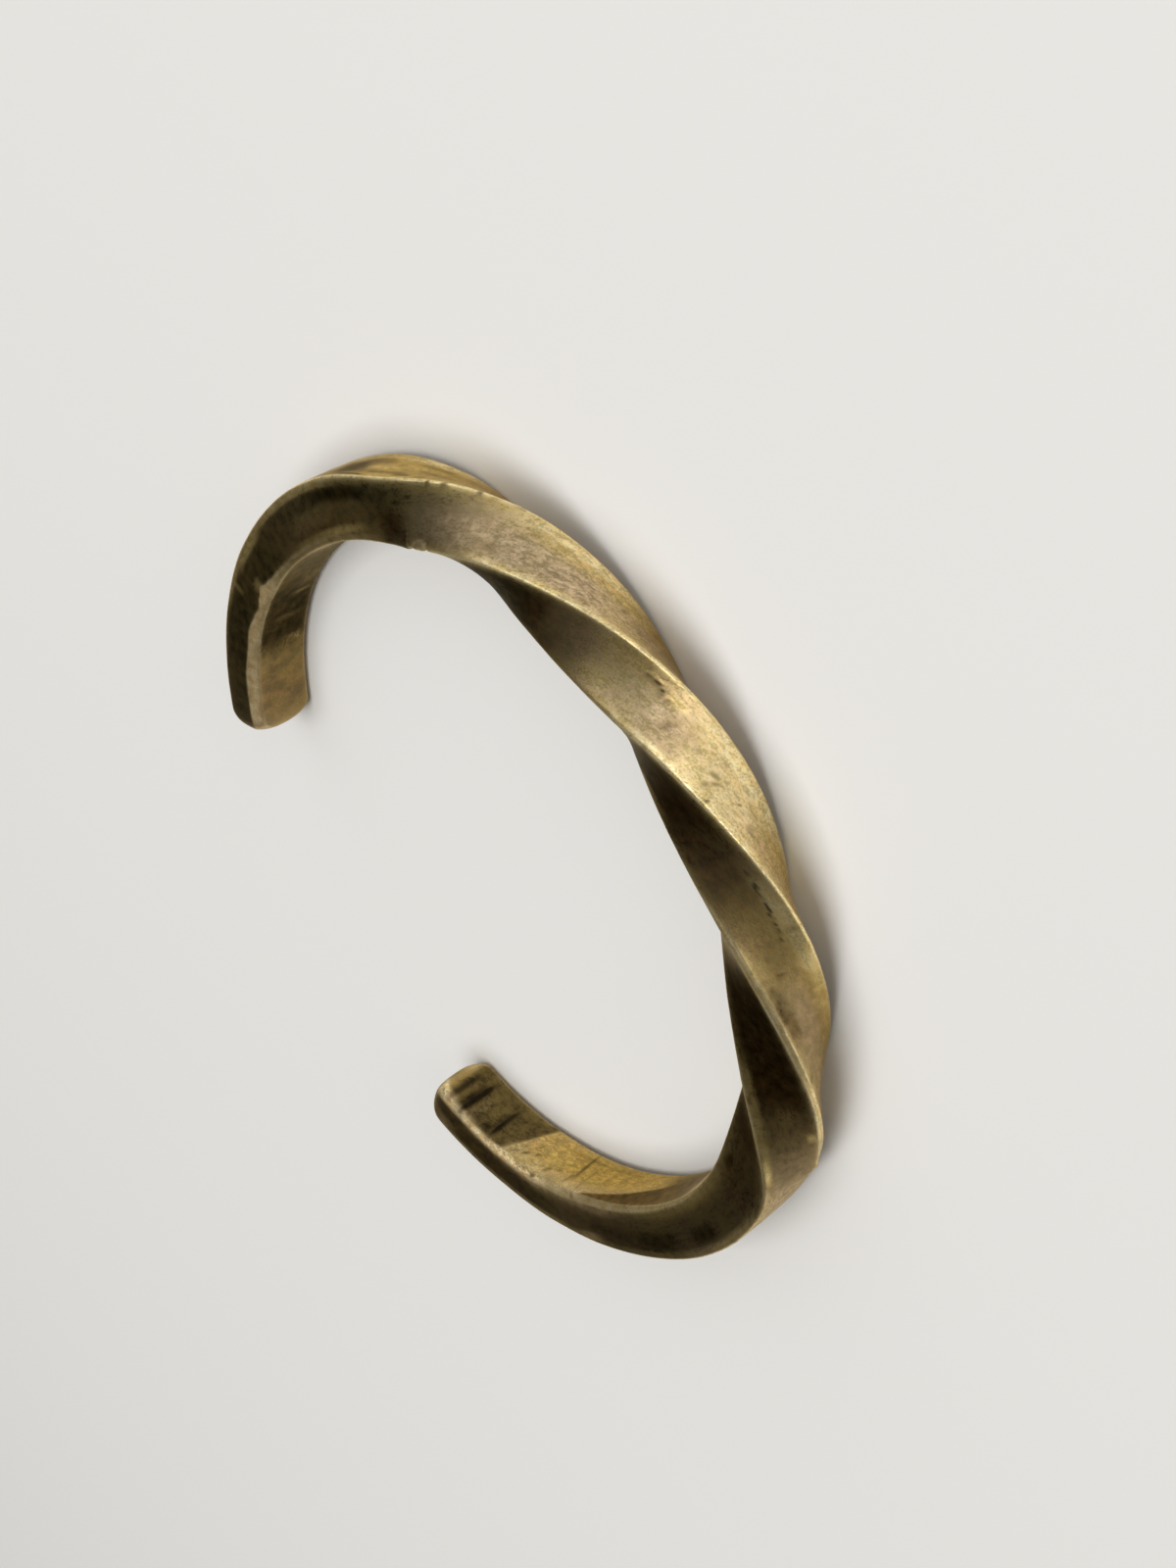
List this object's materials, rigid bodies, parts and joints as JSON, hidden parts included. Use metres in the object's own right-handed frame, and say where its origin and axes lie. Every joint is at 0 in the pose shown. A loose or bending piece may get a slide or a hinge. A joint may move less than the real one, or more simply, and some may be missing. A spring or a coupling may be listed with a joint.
{
  "type": "torque bangle",
  "caption": "Open cuff bangle bent from one square brass bar, its front twisted one full turn, with plain rounded ends.",
  "frame": {"origin": "under the middle of the bangle's box, on the surface that it lies on", "axes": "+Z is the wrist's direction, up from the surface; the twisted front faces -Y and the gap between the tips +Y; +X runs across the wrist"},
  "size_m": [0.073, 0.06, 0.0075],
  "materials": {
    "aged_brass": "satin brass with worn bright edges and a dark brown to black patina in patches"
  },
  "bodies": {
    "root": {"bangle": "aged_brass"}
  },
  "joints": []
}
